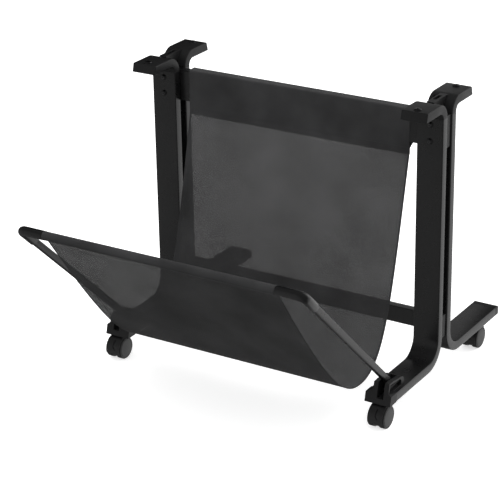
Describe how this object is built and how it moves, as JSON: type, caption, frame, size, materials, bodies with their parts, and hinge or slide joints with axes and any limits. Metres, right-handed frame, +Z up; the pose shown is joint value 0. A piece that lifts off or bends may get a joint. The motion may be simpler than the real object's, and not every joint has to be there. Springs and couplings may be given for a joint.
{
  "type": "mobile printer stand",
  "caption": "Rolling floor stand for a wide desktop printer, with flat-tube legs, moulded pads, cross beams, a folding mesh catch basket and twin-wheel casters.",
  "frame": {"origin": "on the floor, under the middle of the bounding box", "axes": "+X to the stand's right as seen from the front, -Y to the front where the basket opens, +Z up"},
  "size_m": [0.716, 0.842, 0.6505],
  "materials": {
    "painted_tube": "black satin powder coat",
    "moulded_plastic": "fine-grained black moulding",
    "fastener_steel": "dark oxide steel",
    "mesh_fabric": "open-weave black net",
    "wheel_tread": "hard black nylon"
  },
  "bodies": {
    "stand": {"front_left_leg": "painted_tube", "front_left_pad": "moulded_plastic", "front_left_pad_screw": "fastener_steel", "front_right_leg": "painted_tube", "front_right_pad": "moulded_plastic", "front_right_pad_screw": "fastener_steel", "rear_left_leg": "painted_tube", "rear_left_pad": "moulded_plastic", "rear_left_pad_screw": "fastener_steel", "rear_right_leg": "painted_tube", "rear_right_pad": "moulded_plastic", "rear_right_pad_screw": "fastener_steel", "rear_left_foot_plug": "moulded_plastic", "left_top_web": "moulded_plastic", "left_arm_bracket": "moulded_plastic", "left_pivot_pin": "fastener_steel", "upper_beam_left_plug": "moulded_plastic", "lower_beam_left_block": "moulded_plastic", "upper_beam_left_top_bolt": "fastener_steel", "upper_beam_left_bottom_bolt": "fastener_steel", "lower_beam_left_bolt": "fastener_steel", "rear_right_foot_plug": "moulded_plastic", "right_top_web": "moulded_plastic", "right_arm_bracket": "moulded_plastic", "right_pivot_pin": "fastener_steel", "upper_beam_right_plug": "moulded_plastic", "lower_beam_right_block": "moulded_plastic", "upper_beam_right_top_bolt": "fastener_steel", "upper_beam_right_bottom_bolt": "fastener_steel", "lower_beam_right_bolt": "fastener_steel", "upper_beam": "painted_tube", "lower_beam": "painted_tube", "basket_rear_panel": "mesh_fabric", "front_left_caster_stem": "fastener_steel", "front_right_caster_stem": "fastener_steel", "rear_left_caster_stem": "fastener_steel", "rear_right_caster_stem": "fastener_steel"},
    "bail": {"left_arm": "painted_tube", "left_corner_elbow": "moulded_plastic", "right_arm": "painted_tube", "right_corner_elbow": "moulded_plastic", "front_tube": "painted_tube", "basket_front_panel": "mesh_fabric"},
    "front_left_caster_swivel": {"front_left_caster_hood": "moulded_plastic", "front_left_caster_axle": "fastener_steel"},
    "front_left_caster_left_wheel_body": {"front_left_caster_left_wheel": "wheel_tread"},
    "front_left_caster_right_wheel_body": {"front_left_caster_right_wheel": "wheel_tread"},
    "front_right_caster_swivel": {"front_right_caster_hood": "moulded_plastic", "front_right_caster_axle": "fastener_steel"},
    "front_right_caster_left_wheel_body": {"front_right_caster_left_wheel": "wheel_tread"},
    "front_right_caster_right_wheel_body": {"front_right_caster_right_wheel": "wheel_tread"},
    "rear_left_caster_swivel": {"rear_left_caster_hood": "moulded_plastic", "rear_left_caster_axle": "fastener_steel"},
    "rear_left_caster_left_wheel_body": {"rear_left_caster_left_wheel": "wheel_tread"},
    "rear_left_caster_right_wheel_body": {"rear_left_caster_right_wheel": "wheel_tread"},
    "rear_right_caster_swivel": {"rear_right_caster_hood": "moulded_plastic", "rear_right_caster_axle": "fastener_steel"},
    "rear_right_caster_left_wheel_body": {"rear_right_caster_left_wheel": "wheel_tread"},
    "rear_right_caster_right_wheel_body": {"rear_right_caster_right_wheel": "wheel_tread"}
  },
  "joints": [
    {"name": "bail_hinge", "type": "hinge", "parent": "stand", "child": "bail", "pos_m": [0, -0.0641, 0.091], "axis": [-1, 0, 0], "range_deg": [0, 60]},
    {"name": "front_left_caster_swivel_joint", "type": "hinge", "parent": "stand", "child": "front_left_caster_swivel", "pos_m": [-0.331, -0.0715, 0.05], "axis": [0, 0, 1], "continuous": true},
    {"name": "front_left_caster_left_wheel_spin", "type": "hinge", "parent": "front_left_caster_swivel", "child": "front_left_caster_left_wheel_body", "pos_m": [-0.331, -0.095, 0.025], "axis": [1, 0, 0], "continuous": true},
    {"name": "front_left_caster_right_wheel_spin", "type": "hinge", "parent": "front_left_caster_swivel", "child": "front_left_caster_right_wheel_body", "pos_m": [-0.331, -0.095, 0.025], "axis": [1, 0, 0], "continuous": true},
    {"name": "front_right_caster_swivel_joint", "type": "hinge", "parent": "stand", "child": "front_right_caster_swivel", "pos_m": [0.331, -0.0715, 0.05], "axis": [0, 0, 1], "continuous": true},
    {"name": "front_right_caster_left_wheel_spin", "type": "hinge", "parent": "front_right_caster_swivel", "child": "front_right_caster_left_wheel_body", "pos_m": [0.331, -0.095, 0.025], "axis": [1, 0, 0], "continuous": true},
    {"name": "front_right_caster_right_wheel_spin", "type": "hinge", "parent": "front_right_caster_swivel", "child": "front_right_caster_right_wheel_body", "pos_m": [0.331, -0.095, 0.025], "axis": [1, 0, 0], "continuous": true},
    {"name": "rear_left_caster_swivel_joint", "type": "hinge", "parent": "stand", "child": "rear_left_caster_swivel", "pos_m": [-0.331, 0.3701, 0.05], "axis": [0, 0, 1], "continuous": true},
    {"name": "rear_left_caster_left_wheel_spin", "type": "hinge", "parent": "rear_left_caster_swivel", "child": "rear_left_caster_left_wheel_body", "pos_m": [-0.331, 0.3466, 0.025], "axis": [1, 0, 0], "continuous": true},
    {"name": "rear_left_caster_right_wheel_spin", "type": "hinge", "parent": "rear_left_caster_swivel", "child": "rear_left_caster_right_wheel_body", "pos_m": [-0.331, 0.3466, 0.025], "axis": [1, 0, 0], "continuous": true},
    {"name": "rear_right_caster_swivel_joint", "type": "hinge", "parent": "stand", "child": "rear_right_caster_swivel", "pos_m": [0.331, 0.3701, 0.05], "axis": [0, 0, 1], "continuous": true},
    {"name": "rear_right_caster_left_wheel_spin", "type": "hinge", "parent": "rear_right_caster_swivel", "child": "rear_right_caster_left_wheel_body", "pos_m": [0.331, 0.3466, 0.025], "axis": [1, 0, 0], "continuous": true},
    {"name": "rear_right_caster_right_wheel_spin", "type": "hinge", "parent": "rear_right_caster_swivel", "child": "rear_right_caster_right_wheel_body", "pos_m": [0.331, 0.3466, 0.025], "axis": [1, 0, 0], "continuous": true}
  ]
}
